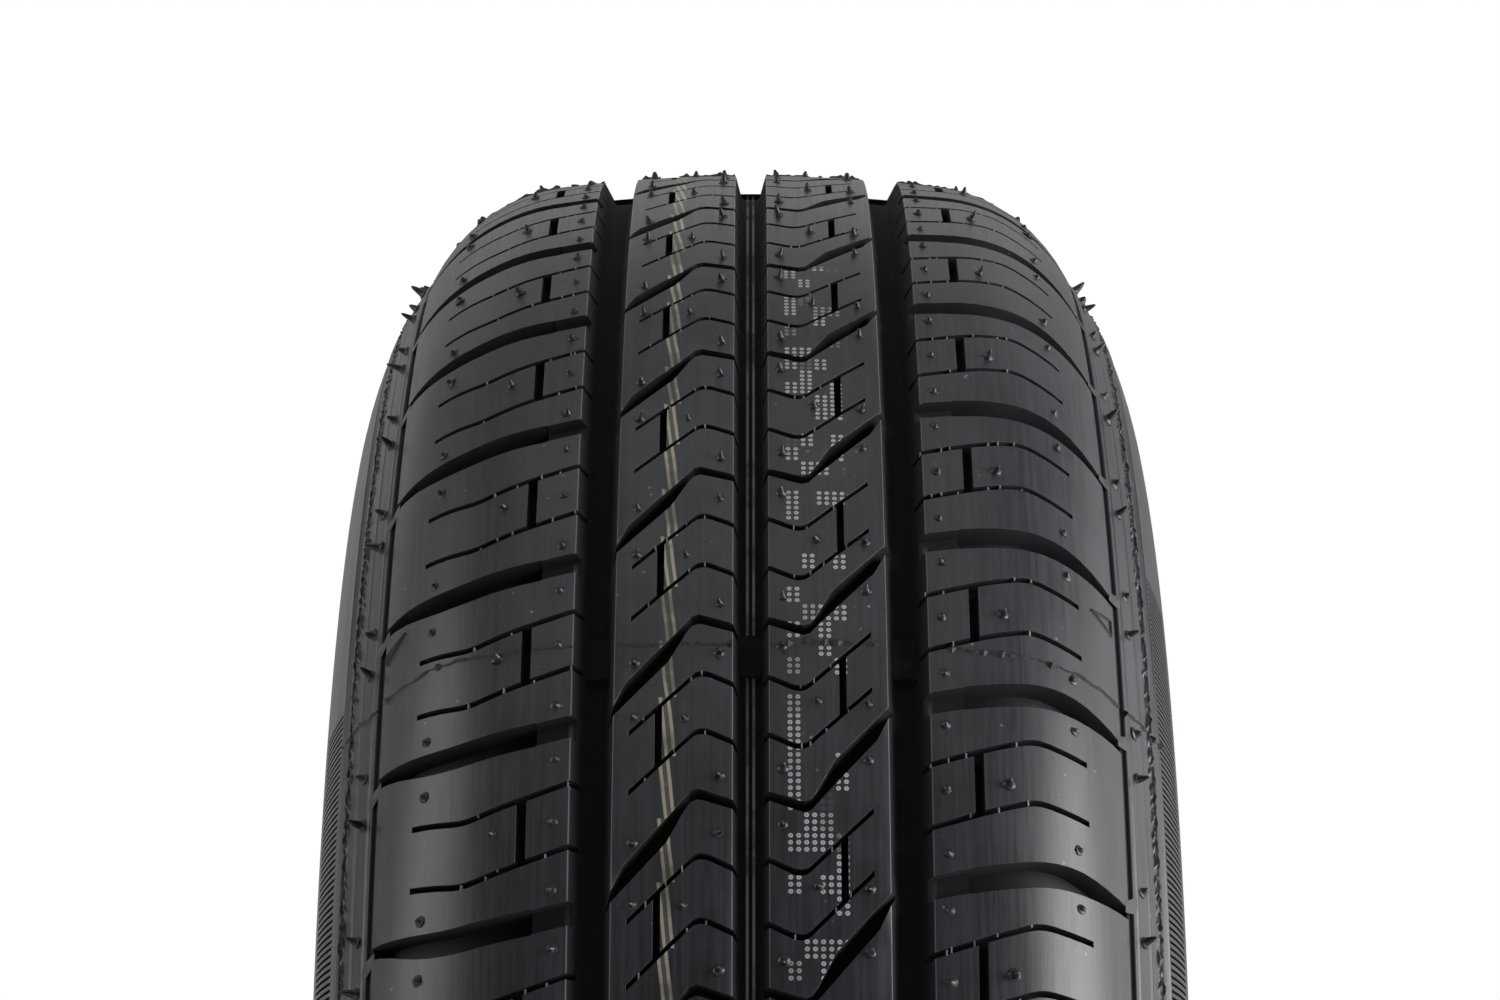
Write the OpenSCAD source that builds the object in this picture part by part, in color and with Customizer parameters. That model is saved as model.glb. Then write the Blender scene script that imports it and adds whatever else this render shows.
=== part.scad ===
/* [Tyre] */
// Outer diameter over the tread at the centre plane
outer_d = 632; // [615:1:660]
// Diameter of the rim that the beads seat on
rim_d = 405.6; // [398:0.1:412]
// Width across the widest part of the sidewalls
section_w = 217; // [212:1:226]
// Width over the two beads, outer face to outer face
bead_span = 165; // [156:1:174]

/* [Section] */
// Radius of the flat middle arc of the tread
crown_r = 450; // [350:10:700]
// Half width of that arc
crown_half_w = 55; // [52:1:58]
// Radius of the round shoulder that follows it
shoulder_r = 47; // [45:1:54]
// Half width of the tread, out to its shoulder line
tread_half_w = 91.7; // [90:0.1:93]
// Slope of the sidewall where it leaves the shoulder line
buttress_angle = 52; // [49:1:55]
// Radius of the bulge at the widest place
bulge_r = 40; // [37:1:43]
// Rubber and belts between the tread surface and the inside
crown_wall = 16; // [14:0.5:18]
// Wall of the flexing middle of the sidewall
side_wall = 7; // [6:0.5:9]
// Width of a bead at its base
bead_w = 19; // [17:0.5:22]
// Width of the true cylindrical seat under each bead
seat_w = 9; // [7:0.5:10]
// Round of the bead's heel, outside the seat
heel_r = 6; // [4:0.5:7]
// Hollow above the heel that clears the rim flange
clinch_r = 16; // [14:1:17]
// Wall of the bead behind that hollow
clinch_wall = 10; // [8:0.5:12]
// Height of the fine moulded rings on the sidewall
ring_h = 0.6; // [0.3:0.1:1]
// Width of those rings
ring_w = 1.2; // [0.8:0.1:2]

/* [Main grooves] */
// Depth of the three circumferential grooves
groove_depth = 7; // [6.6:0.1:8]
// Half width of the centre groove at the tread surface
centre_groove_half_w = 4.5; // [3.8:0.1:5.4]
// Distance from the centre plane to the inner edge of an outer groove
outer_groove_in = 32.8; // [31.8:0.1:33.8]
// Distance from the centre plane to the outer edge of an outer groove
outer_groove_out = 43.2; // [42.2:0.1:44.6]
// How far each groove wall leans in between the surface and the floor
groove_lean = 2.2; // [1:0.1:2.6]
// Number of rows of wear bars round the tyre
wear_rows = 7; // [6:1:10]
// Angle of the first row of wear bars above the front
wear_start = 35.9; // [0:0.1:40]
// Height of a wear bar over the groove floor
wear_bar_h = 1.6; // [1.6:0.1:2]
// Length of a wear bar along its groove
wear_bar_l = 13; // [8:0.5:16]
// Width of the fine line that ends the tread on each shoulder
shoulder_line_w = 1.8; // [1:0.1:2.4]
// Depth of that line
shoulder_line_depth = 0.9; // [0.4:0.1:1.5]

/* [Tread pattern] */
// Number of pattern pitches round the tyre
pitches = 41; // [39:1:43]
// Angle of the first pitch above the front
pattern_start = 5.22; // [0:0.01:9]
// Turn of one half of the tread against the other, as a share of a pitch
half_shift = 0.217; // [0:0.001:1]
// Lag of the first half's shoulder pattern behind its rib, as a share of a pitch
shoulder_lag = 0.013; // [0:0.001:0.1]
// Depth of the narrow sipes of the centre ribs
sipe_depth = 5; // [4:0.1:5.8]
// Depth of the narrow sipes of the shoulder ribs at their two ends
shoulder_sipe_depth = 3; // [2:0.1:3.2]
// Width of a narrow sipe
sipe_w = 1.2; // [0.8:0.1:1.6]
// Width of a notch
notch_w = 2.4; // [1.8:0.1:3.2]
// Depth of the wide sipe across each centre rib
cross_depth = 5.2; // [4.5:0.1:6]
// Depth of the lateral groove across each shoulder rib
lateral_depth = 6; // [4.5:0.1:6.1]
// Width of the lateral groove
lateral_w = 6; // [4.5:0.1:7]
// Depth of the lateral groove over its tie bar, beside the outer groove
tie_bar_depth = 3; // [2:0.1:4]

/* [Hidden] */
$fn = 96;
outer_r = outer_d / 2;
rim_r = rim_d / 2;
half_w = section_w / 2;
heel_z = bead_span / 2;
toe_z = heel_z - bead_w;
pitch_angle = 360 / pitches;
pitch_l = PI * outer_d / pitches;

// How far a cutter stands over the tread
over = 5;

// A round stretch of the section, as points [radius, distance from the centre plane]
function arc(c, r, a0, a1, n) =
    [for (i = [0:n]) let (a = a0 + (a1 - a0) * i / n) c + r * [cos(a), sin(a)]];

// Crown: a flat middle arc, then the round shoulder tangent to it
crown_c = [outer_r - crown_r, 0];
crown_angle = asin(crown_half_w / crown_r);
shoulder_c = crown_c + (crown_r - shoulder_r) * [cos(crown_angle), sin(crown_angle)];
shoulder_angle = asin((tread_half_w - shoulder_c[1]) / shoulder_r);
tread_edge = shoulder_c + shoulder_r * [cos(shoulder_angle), sin(shoulder_angle)];

// Sidewall: the buttress below the shoulder, then the bulge tangent to it
bulge_start = 76;
bulge_end = 120;
side_r = (half_w - bulge_r * (1 - sin(bulge_start)) - tread_half_w) /
    (sin(bulge_start) - sin(buttress_angle));
side_c = tread_edge - side_r * [cos(buttress_angle), sin(buttress_angle)];
bulge_c = side_c + (side_r - bulge_r) * [cos(bulge_start), sin(bulge_start)];

// Bead: the flange hollow above the heel, the heel, the seat and the toe, eased clear of the rim
clinch_lift = 3;
clinch_c = [rim_r + heel_r + clinch_lift, heel_z + clinch_r];
heel_c = [rim_r + heel_r, heel_z - heel_r];
seat_in = heel_z - heel_r - seat_w;
toe_lift = 0.4;
toe_h = 3;

// The wall thickens from the sidewall into the shoulder
shoulder_wall = crown_wall + 2;
buttress_wall = side_wall + 2;

// Radius of the tread surface at a distance from the centre plane
function tread_r(z) = z < crown_half_w ?
    crown_c[0] + sqrt(crown_r * crown_r - z * z) :
    shoulder_c[0] + sqrt(shoulder_r * shoulder_r - pow(z - shoulder_c[1], 2));

// The crown's points lie in the grooves, so that each centre rib is one smooth band
function outside_line() = concat(
    [for (z = [0, (outer_groove_in + outer_groove_out) / 2]) [tread_r(z), z]],
    arc(shoulder_c, shoulder_r, crown_angle + 6, shoulder_angle, 3),
    arc(side_c, side_r, buttress_angle + 6, bulge_start, 3),
    arc(bulge_c, bulge_r, bulge_start + 11, bulge_end, 3),
    arc(clinch_c, clinch_r, -15, -90, 4),
    arc(heel_c, heel_r, 90, 180, 4),
    [[rim_r, seat_in], [rim_r + toe_lift, toe_z + 1]]
);

function inside_line() = concat(
    [[rim_r + toe_h, toe_z]],
    arc(clinch_c, clinch_r + clinch_wall, -78, -18, 3),
    arc(bulge_c, bulge_r - side_wall, 100, bulge_start, 3),
    arc(side_c, side_r - buttress_wall, bulge_start - 4, bulge_start - 14, 2),
    arc(shoulder_c, shoulder_r - shoulder_wall, 48, crown_angle, 3),
    [[tread_r(0) - crown_wall, 0]]
);

function groove_floor(z0, z1) = tread_r(max(abs(z0), abs(z1))) - groove_depth;

// Section of a circumferential groove between two distances from the centre plane
module groove_section(z0, z1) {
    floor_r = groove_floor(z0, z1);
    lip = over * groove_lean / groove_depth;
    polygon([
        [floor_r, z0 + groove_lean], [floor_r, z1 - groove_lean],
        [floor_r + groove_depth + over, z1 + lip], [floor_r + groove_depth + over, z0 - lip]
    ]);
}

// Section of a fine ring on the sidewall, centred on a point of its outline
module ring_section(c, r, a) {
    translate(c + r * [cos(a), sin(a)]) rotate(a) square([2 * ring_h, ring_w], center = true);
}

module half_section() {
    difference() {
        union() {
            polygon(concat(outside_line(), inside_line()));
            ring_section(side_c, side_r, 64);
            ring_section(bulge_c, bulge_r, 112);
        }
        groove_section(outer_groove_in, outer_groove_out);
        translate(tread_edge) rotate(shoulder_angle)
            square([2 * shoulder_line_depth, shoulder_line_w], center = true);
    }
}

// One wear bar across a main groove, set into the groove's floor and walls
module wear_bar(z0, z1) {
    bar_angle = wear_bar_l / outer_r * 180 / PI;
    floor_r = groove_floor(z0, z1);
    lean_at_top = groove_lean * (1 - wear_bar_h / groove_depth);
    sunk = 0.5;
    rotate([0, 0, -bar_angle / 2]) rotate_extrude(angle = bar_angle) polygon([
        [floor_r - sunk, z0 + groove_lean], [floor_r - sunk, z1 - groove_lean],
        [floor_r, z1 - groove_lean + sunk], [floor_r + wear_bar_h, z1 - lean_at_top + sunk],
        [floor_r + wear_bar_h, z0 + lean_at_top - sunk], [floor_r, z0 + groove_lean - sunk]
    ]);
}

// The tyre turned whole from its section, with the three main grooves and their wear bars
module carcass() {
    rotate_extrude() difference() {
        union() {
            half_section();
            mirror([0, 1]) half_section();
        }
        groove_section(-centre_groove_half_w, centre_groove_half_w);
    }
    for (row = [0:wear_rows - 1]) rotate([0, 0, wear_start + row * 360 / wear_rows]) {
        wear_bar(-centre_groove_half_w, centre_groove_half_w);
        wear_bar(outer_groove_in, outer_groove_out);
        wear_bar(-outer_groove_out, -outer_groove_in);
    }
}

// The pattern is drawn on one half, in percent of a pitch along the tread
// and in percent of a rib's width outwards
function rib_z(p) = centre_groove_half_w + p / 100 * (outer_groove_in - centre_groove_half_w);
function shoulder_z(p) = outer_groove_out + p / 100 * (tread_half_w - outer_groove_out);
function on_rib(p) = [p[0] / 100 * pitch_l, rib_z(p[1])];
function on_shoulder(p) = [p[0] / 100 * pitch_l, shoulder_z(p[1])];
function reversed(v) = [for (i = [len(v) - 1:-1:0]) v[i]];

// Presses a flat-floored outline of [length, distance] points into the tread. Its floor runs
// parallel to the chord of the surface from z0 to z1
module press(points, z0, z1, depth) {
    run = z1 - z0;
    drop = tread_r(z0) - tread_r(z1);
    middle = (max([for (p = points) p[0]]) + min([for (p = points) p[0]])) / 2;
    rotate([0, 0, middle / outer_r * 180 / PI]) translate([tread_r(z0), 0, z0])
        rotate([0, -atan2(drop, run), 0]) rotate([90, 0, 90]) translate([0, 0, -depth])
            linear_extrude(depth + over) polygon([for (p = points) [
                (p[0] - middle) * tread_r(p[1]) / outer_r,
                (p[1] - z0) / run * norm([run, drop])
            ]]);
}

// One straight leg of a groove from a to b
module leg(a, b, w0, w1, depth) {
    press([a - [w0 / 2, 0], a + [w0 / 2, 0], b + [w1 / 2, 0], b - [w1 / 2, 0]], a[1], b[1], depth);
}

// Outline of two like sipes along a path, joined by a notch that starts at z0
function sipe_pair(path, apart, z0) = let (
    gap = [apart, 0],
    side = [sipe_w / 2, 0],
    z1 = z0 + notch_w,
    inner = [for (p = path) if (p[1] < z0) p],
    outer = [for (p = path) if (p[1] > z1) p],
    table = [for (p = path) [p[1], p[0]]],
    at0 = [lookup(z0, table), z0],
    at1 = [lookup(z1, table), z1]
) concat(
    [for (p = path) p - side],
    [for (p = reversed(outer)) p + side], [at1 + side, at1 + gap - side],
    [for (p = outer) p + gap - side], [for (p = reversed(path)) p + gap + side],
    [for (p = inner) p + gap - side], [at0 + gap - side, at0 + side],
    [for (p = reversed(inner)) p + side]
);

// The wide sipe of a centre rib: an arch by the centre groove, a leaf-shaped mouth outside
module cross_sipe() {
    upper = [[59.4, -7], [66.8, 28], [62.5, 38], [27, 90], [6.5, 107]];
    lower = [[5, 107], [39, 55], [57, 39], [62, 28], [55.3, -7]];
    press([for (p = concat(upper, lower)) on_rib(p)], rib_z(0), rib_z(100), cross_depth);
}

// Two narrow sipes of a centre rib with the notch between them
module rib_sipes() {
    path = [for (p = [[90.6, -7], [98.8, 25], [91.8, 42], [65.4, 87]]) on_rib(p)];
    press(sipe_pair(path, 0.328 * pitch_l, rib_z(58.3)), rib_z(0), rib_z(100), sipe_depth);
}

// Two narrow sipes of a shoulder rib with the notch between them. Their straight floor makes
// them deepest halfway over the round shoulder
module shoulder_sipes() {
    path = [for (p = [[41.5, -6.6], [21.3, 51.8], [25.8, 78]]) on_shoulder(p)];
    press(sipe_pair(path, 0.341 * pitch_l, shoulder_z(20.6)), path[0][1], path[2][1],
        shoulder_sipe_depth);
}

// The lateral groove: over its tie bar, across the rib, then tapered to the shoulder line
module lateral_groove() {
    mouth = on_shoulder([106.4, -6.6]);
    bar_end = on_shoulder([100.8, 17.5]);
    bend = on_shoulder([92.1, 64.5]);
    tip = on_shoulder([100.4, 98.6]);
    overlap = [0, 0.3];
    leg(mouth, bar_end + overlap, lateral_w, lateral_w, tie_bar_depth);
    leg(bar_end, bend, lateral_w, lateral_w, lateral_depth);
    leg(bend - overlap, tip, lateral_w, lateral_w / 2, lateral_depth);
}

// One pitch of one half. Its shoulder pattern may lag behind that of its rib
module half_pitch(lag) {
    cross_sipe();
    rib_sipes();
    rotate([0, 0, -lag * pitch_angle]) {
        shoulder_sipes();
        lateral_groove();
    }
}

// The other half of the tread repeats the first, turned by half a turn about a radius
module tread_pattern() {
    for (i = [0:pitches - 1]) {
        rotate([0, 0, pattern_start + i * pitch_angle]) half_pitch(shoulder_lag);
        rotate([180, 0, pattern_start + (i + half_shift) * pitch_angle]) half_pitch(0);
    }
}

module tyre() color("dimgray") rotate([90, 0, 0]) difference() {
    carcass();
    tread_pattern();
}

tyre();
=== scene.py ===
import math
import bmesh
import bpy
import numpy as np
from mathutils import Matrix, Vector
from mathutils.bvhtree import BVHTree


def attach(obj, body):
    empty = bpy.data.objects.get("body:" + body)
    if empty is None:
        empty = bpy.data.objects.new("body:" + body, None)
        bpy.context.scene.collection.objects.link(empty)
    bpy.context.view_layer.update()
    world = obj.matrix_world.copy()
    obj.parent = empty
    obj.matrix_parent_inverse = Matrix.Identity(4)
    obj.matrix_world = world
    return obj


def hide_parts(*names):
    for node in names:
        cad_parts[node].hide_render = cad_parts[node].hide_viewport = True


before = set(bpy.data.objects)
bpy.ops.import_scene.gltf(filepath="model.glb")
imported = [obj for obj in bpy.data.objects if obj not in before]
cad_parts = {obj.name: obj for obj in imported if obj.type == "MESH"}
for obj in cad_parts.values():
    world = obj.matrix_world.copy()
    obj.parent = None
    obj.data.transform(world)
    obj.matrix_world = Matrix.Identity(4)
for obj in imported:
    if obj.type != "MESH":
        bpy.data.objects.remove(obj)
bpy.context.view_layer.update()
scene = bpy.context.scene
scene.view_settings.view_transform = "Standard"
mm = 0.001

# Camera: level, close in front of the tread, a little above the hub
photoView = {
    "place": (1.3229, -0.0002, 0.2198),  # metres from the wheel centre
    "lens": 106.1,  # on a 36 mm wide sensor
}
cameraData = bpy.data.cameras.new("photoCamera")
cameraData.lens = photoView["lens"]
cameraData.sensor_width = 36
cameraData.clip_start = 0.01
camera = bpy.data.objects.new("photoCamera", cameraData)
camera.location = photoView["place"]
camera.rotation_euler = (math.radians(90), 0, math.radians(90))  # looks along -X
scene.collection.objects.link(camera)
scene.camera = camera


# Small helpers

def linearColor(text):
    values = [int(text[i:i + 2], 16) / 255 for i in (1, 3, 5)]
    return (*[v / 12.92 if v <= 0.04045 else ((v + 0.055) / 1.055) ** 2.4 for v in values], 1.0)


def addNode(tree, kind, inputs=None, output=0, **settings):
    node = tree.nodes.new(kind)
    for name, value in settings.items():
        setattr(node, name, value)
    for key, value in (inputs or {}).items():
        if isinstance(value, bpy.types.NodeSocket):
            tree.links.new(value, node.inputs[key])
        else:
            node.inputs[key].default_value = value
    return node.outputs[output] if len(node.outputs) else node


def meshObject(name, bm):
    mesh = bpy.data.meshes.new(name)
    bm.to_mesh(mesh)
    bm.free()
    obj = bpy.data.objects.new(name, mesh)
    scene.collection.objects.link(obj)
    return obj


def triangleCount(obj):
    return sum(len(p.vertices) - 2 for p in obj.data.polygons)


def boolean(obj, cutter, operation):
    modifier = obj.modifiers.new("cut", "BOOLEAN")
    modifier.operation = operation
    modifier.object = cutter
    modifier.solver = "MANIFOLD"
    depsgraph = bpy.context.evaluated_depsgraph_get()
    mesh = bpy.data.meshes.new_from_object(obj.evaluated_get(depsgraph))
    obj.modifiers.remove(modifier)
    obj.data = mesh
    bpy.data.objects.remove(cutter)


def bakeNodes(obj, tree, values):
    modifier = obj.modifiers.new(tree.name, "NODES")
    modifier.node_group = tree
    for item in tree.interface.items_tree:
        if item.item_type == "SOCKET" and item.in_out == "INPUT" and item.name in values:
            modifier[item.identifier] = values[item.name]
    obj.update_tag()
    depsgraph = bpy.context.evaluated_depsgraph_get()
    mesh = bpy.data.meshes.new_from_object(obj.evaluated_get(depsgraph))
    obj.modifiers.remove(modifier)
    obj.data = mesh


# Section of the tyre in millimetres: radius from the spin axis, distance from the centre plane
section = {
    "outerR": 316.0, "rimR": 202.8, "halfW": 108.5, "heelZ": 82.5,
    "crownR": 450.0, "crownHalfW": 55.0, "shoulderR": 47.0, "treadHalfW": 91.7,
    "buttressAngle": 52.0, "bulgeR": 40.0, "bulgeStart": 76.0, "bulgeEnd": 120.0,
    "crownWall": 16.0, "sideWall": 7.0, "beadW": 19.0, "seatW": 9.0,
    "heelR": 6.0, "clinchR": 16.0, "clinchWall": 10.0,
    "ringH": 0.3, "ringW": 0.9, "ringAngles": (65.0, 112.0),
}


def unit(degrees):
    return np.array([math.cos(math.radians(degrees)), math.sin(math.radians(degrees))])


def arcPoints(centre, radius, start, end, count):
    return [centre + radius * unit(start + (end - start) * i / count) for i in range(count + 1)]


def ringBump(centre, radius, angle):
    half = math.degrees(section["ringW"] / radius / 2)
    top = radius + section["ringH"]
    return [
        centre + radius * unit(angle - half), centre + top * unit(angle - half * 0.5),
        centre + top * unit(angle + half * 0.5), centre + radius * unit(angle + half),
    ]


def sectionCurves(c):
    crownC = np.array([c["outerR"] - c["crownR"], 0.0])
    crownA = math.degrees(math.asin(c["crownHalfW"] / c["crownR"]))
    shoulderC = crownC + (c["crownR"] - c["shoulderR"]) * unit(crownA)
    shoulderA = math.degrees(math.asin((c["treadHalfW"] - shoulderC[1]) / c["shoulderR"]))
    edge = shoulderC + c["shoulderR"] * unit(shoulderA)
    rise = 1 - math.sin(math.radians(c["bulgeStart"]))
    spread = math.sin(math.radians(c["bulgeStart"])) - math.sin(math.radians(c["buttressAngle"]))
    sideR = (c["halfW"] - c["bulgeR"] * rise - c["treadHalfW"]) / spread
    sideC = edge - sideR * unit(c["buttressAngle"])
    bulgeC = sideC + (sideR - c["bulgeR"]) * unit(c["bulgeStart"])
    return crownC, crownA, shoulderC, sideR, sideC, bulgeC


crownC, crownA, shoulderC, sideR, sideC, bulgeC = sectionCurves(section)


# From the tread's edge over the sidewall and bead, then inside up to the crown's middle
def lowerOutline(c):
    clinchC = np.array([c["rimR"] + c["heelR"] + 3, c["heelZ"] + c["clinchR"]])
    heelC = np.array([c["rimR"] + c["heelR"], c["heelZ"] - c["heelR"]])
    toeZ = c["heelZ"] - c["beadW"]
    lineAngle, lowAngle = c["ringAngles"]
    outside = (
        arcPoints(sideC, sideR, c["buttressAngle"], lineAngle - 1.5, 6)
        + ringBump(sideC, sideR, lineAngle)
        + arcPoints(sideC, sideR, lineAngle + 1.5, c["bulgeStart"], 4)
        + arcPoints(bulgeC, c["bulgeR"], c["bulgeStart"] + 5, lowAngle - 3, 5)
        + ringBump(bulgeC, c["bulgeR"], lowAngle)
        + [bulgeC + c["bulgeR"] * unit(c["bulgeEnd"])]
        + arcPoints(clinchC, c["clinchR"], -15, -90, 6)
        + arcPoints(heelC, c["heelR"], 90, 180, 6)
        + [np.array([c["rimR"], c["heelZ"] - c["heelR"] - c["seatW"]])]
        + [np.array([c["rimR"] + 0.4, toeZ + 1])]
    )
    inside = (
        [np.array([c["rimR"] + 3, toeZ])]
        + arcPoints(clinchC, c["clinchR"] + c["clinchWall"], -78, -18, 4)
        + arcPoints(bulgeC, c["bulgeR"] - c["sideWall"], 100, c["bulgeStart"], 4)
        + arcPoints(sideC, sideR - c["sideWall"] - 2, c["bulgeStart"] - 4, c["bulgeStart"] - 14, 2)
        + arcPoints(shoulderC, c["shoulderR"] - c["crownWall"] - 2, 48, crownA, 4)
        + arcPoints(crownC, c["crownR"] - c["crownWall"], crownA * 0.6, 0, 2)
    )
    return outside + inside, len(outside)


rim, rimInside = lowerOutline(section)
rimLength = np.concatenate([[0], np.cumsum([np.linalg.norm(b - a) for a, b in zip(rim, rim[1:])])])


# Radius and distance from the centre plane of a point h above the outside. t is the distance from that
# plane as far as the tread's edge, and grows with the length along the outline from there on
def onSection(t, h):
    if t <= section["crownHalfW"]:
        return crownC + (section["crownR"] + h) * unit(math.degrees(math.asin(t / section["crownR"])))
    if t <= section["treadHalfW"]:
        angle = math.degrees(math.asin((t - shoulderC[1]) / section["shoulderR"]))
        return shoulderC + (section["shoulderR"] + h) * unit(angle)
    d = t - section["treadHalfW"]
    i = min(int(np.searchsorted(rimLength, d, side="right")) - 1, len(rim) - 2)
    along = (rim[i + 1] - rim[i]) / (rimLength[i + 1] - rimLength[i])
    return rim[i] + along * (d - rimLength[i]) + h * np.array([along[1], -along[0]])


# Point in the row frame, in metres. side 1 is the half at -Y, side -1 that half turned about X
def onTyre(s, t, h, side=1, turn=0.0):
    radius, z = onSection(t, h)
    angle = side * s / section["outerR"] + math.radians(turn)
    return Vector((radius * math.cos(angle), -side * z, radius * math.sin(angle))) * mm


# Straight out of the tyre there
def upAt(s, t, side, turn=0.0):
    return (onTyre(s, t, 1, side, turn) - onTyre(s, t, 0, side, turn)).normalized()


# Tread pattern of one pitch of one half, laid out flat: s along the tread, t outwards, h upwards
tread = {
    "pitches": 41, "start": 5.22, "halfShift": 0.217, "shoulderLag": 0.013,
    "grooveDepth": 7.0, "centreHalfW": 4.5, "outerIn": 32.8, "outerOut": 43.2,
    "sipeDepth": 5.0, "sipeW": 1.6, "ribNotchW": 1.8, "notchW": 2.4, "crossDepth": 5.2, "lateralDepth": 6.0,
    "lateralW": 6.0, "tieBarDepth": 3.0, "edgeRound": 0.35, "flatEnd": 97.0, "columns": 4,
}
pitch = 2 * math.pi * section["outerR"] / tread["pitches"]
pitchAngle = 360 / tread["pitches"]
columnStep = pitch / tread["columns"]
centreColumn = tread["halfShift"] * pitch / 2  # here the columns of both halves meet
shoulderSeam = 39.0
seamPath = [
    (centreColumn + 5 * columnStep, 0), (centreColumn + 5 * columnStep, 4.5), (69.5, 12), (67, 16.4),
    (53, 29.1), (49.5, 33), (44, 38), (shoulderSeam, 43), (shoulderSeam, tread["flatEnd"]),
]
# Sipes run in like pairs: hundredths of the pitch along, hundredths of the rib or the shoulder across
ribSipe, ribApart = ((90.6, -7), (98.8, 22), (98.4, 31), (91.8, 42), (65.4, 87)), 0.328 * pitch
shoulderSipe, shoulderApart = ((41.5, -6.6), (21.3, 51.8), (25.8, 78)), 0.341 * pitch


# Places in hundredths of the pitch along and of the rib or the shoulder across, in millimetres
def onRib(s, t):
    return (s / 100 * pitch, tread["centreHalfW"] + t / 100 * (tread["outerIn"] - tread["centreHalfW"]))


def onShoulder(s, t, lag):
    across = tread["outerOut"] + t / 100 * (section["treadHalfW"] - tread["outerOut"])
    return ((s / 100 - lag) * pitch, across)


def shifted(points, distance):
    return [(s + distance, t) for s, t in points]


# Closed prism over a flat outline, wider at the top by spread on each side
def prism(bm, points, low, high, spread=0.0):
    if sum(a[0] * b[1] - b[0] * a[1] for a, b in zip(points, points[1:] + points[:1])) < 0:
        points = points[::-1]
    n = len(points)
    top = []
    for i in range(n):
        a, p, b = (np.array(points[j % n]) for j in (i - 1, i, i + 1))
        u, v = (p - a) / np.linalg.norm(p - a), (b - p) / np.linalg.norm(b - p)
        out = np.array([u[1] + v[1], -u[0] - v[0]])
        top.append(p + out / max(np.dot(out, out) / 2, 0.5) * spread)
    lower = [bm.verts.new((p[0], p[1], low)) for p in points]
    upper = [bm.verts.new((p[0], p[1], high)) for p in top]
    bm.faces.new(lower[::-1])
    bm.faces.new(upper)
    for i in range(n):
        j = (i + 1) % n
        bm.faces.new([lower[i], lower[j], upper[j], upper[i]])


def roundedPath(points, reach, count):
    out = [points[0]]
    for a, p, b in zip(points, points[1:], points[2:]):
        a, p, b = np.array(a), np.array(p), np.array(b)
        cut = min(reach, np.linalg.norm(a - p) * 0.45, np.linalg.norm(b - p) * 0.45)
        p0 = p + (a - p) / np.linalg.norm(a - p) * cut
        p1 = p + (b - p) / np.linalg.norm(b - p) * cut
        for i in range(count + 1):
            f = i / count
            out.append(tuple((1 - f) ** 2 * p0 + 2 * f * (1 - f) * p + f * f * p1))
    return out + [points[-1]]


def ribSipePath():
    return roundedPath([onRib(*p) for p in ribSipe], 2.2, 2)


def shoulderSipePath(lag):
    return roundedPath([onShoulder(*p, lag) for p in shoulderSipe], 3, 3)


# Outline of two like sipes along a path, joined by a notch that starts at notchT
def sipePair(path, apart, notchT, notchW):
    half = tread["sipeW"] / 2
    ends = [notchT, notchT + notchW]
    at0, at1 = [(float(np.interp(t, [p[1] for p in path], [p[0] for p in path])), t) for t in ends]
    inner = [p for p in path if p[1] < ends[0] - 0.3] + [at0]
    outer = [at1] + [p for p in path if p[1] > ends[1] + 0.3]
    return (
        shifted(path, -half) + shifted(outer[::-1], half) + shifted(outer, apart - half)
        + shifted(path[::-1], apart + half) + shifted(inner, apart - half) + shifted(inner[::-1], half)
    )


# Outline of a groove along a path, with its width along the tread at each point
def grooveBand(path, widths):
    left = [(p[0] - w / 2, p[1]) for p, w in zip(path, widths)]
    right = [(p[0] + w / 2, p[1]) for p, w in zip(path, widths)]
    return left + right[::-1]


# Half of the tread's section pulled along s, with the main grooves and the shoulder line
def flatSlab(start, end):
    g, far = tread["grooveDepth"], tread["flatEnd"]
    line = [
        (0, -g), (2.1, -g), (2.7, -g + 0.6), (4.25, -0.45), (4.4, -0.12), (4.7, 0),
        (32.6, 0), (32.9, -0.12), (33.05, -0.45), (34.8, -g + 0.7), (35.4, -g),
        (39.8, -g), (40.5, -g + 0.7), (42.95, -0.45), (43.1, -0.12), (43.4, 0),
        (90.6, 0), (90.8, -0.15), (91.1, -0.9), (92.2, -0.9), (92.5, -0.15), (92.8, 0), (far, 0),
        (far, -12), (0, -12),
    ]
    bm = bmesh.new()
    rows = [[bm.verts.new((s, t, h)) for t, h in line] for s in (start, end)]
    bm.faces.new(rows[0])
    bm.faces.new(rows[1][::-1])
    for i in range(len(line)):
        j = (i + 1) % len(line)
        bm.faces.new([rows[0][j], rows[0][i], rows[1][i], rows[1][j]])
    bmesh.ops.recalc_face_normals(bm, faces=bm.faces)
    return meshObject("slab", bm)


def cutShape(build):
    bm = bmesh.new()
    build(bm)
    bmesh.ops.recalc_face_normals(bm, faces=bm.faces)
    return meshObject("cutter", bm)


def cutRow(bm, place, normal, keep):
    faces = [f for f in bm.faces if keep(f.calc_center_median())]
    geom = list({v for f in faces for v in f.verts}) + list({e for f in faces for e in f.edges}) + faces
    bmesh.ops.bisect_plane(bm, geom=geom, plane_co=place, plane_no=normal, dist=1e-4)


def onSeam(co, k):
    s = np.interp(min(max(co.y, 0), tread["flatEnd"]), [p[1] for p in seamPath], [p[0] for p in seamPath])
    return abs(co.x - s - k * pitch) < 2e-3


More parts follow.
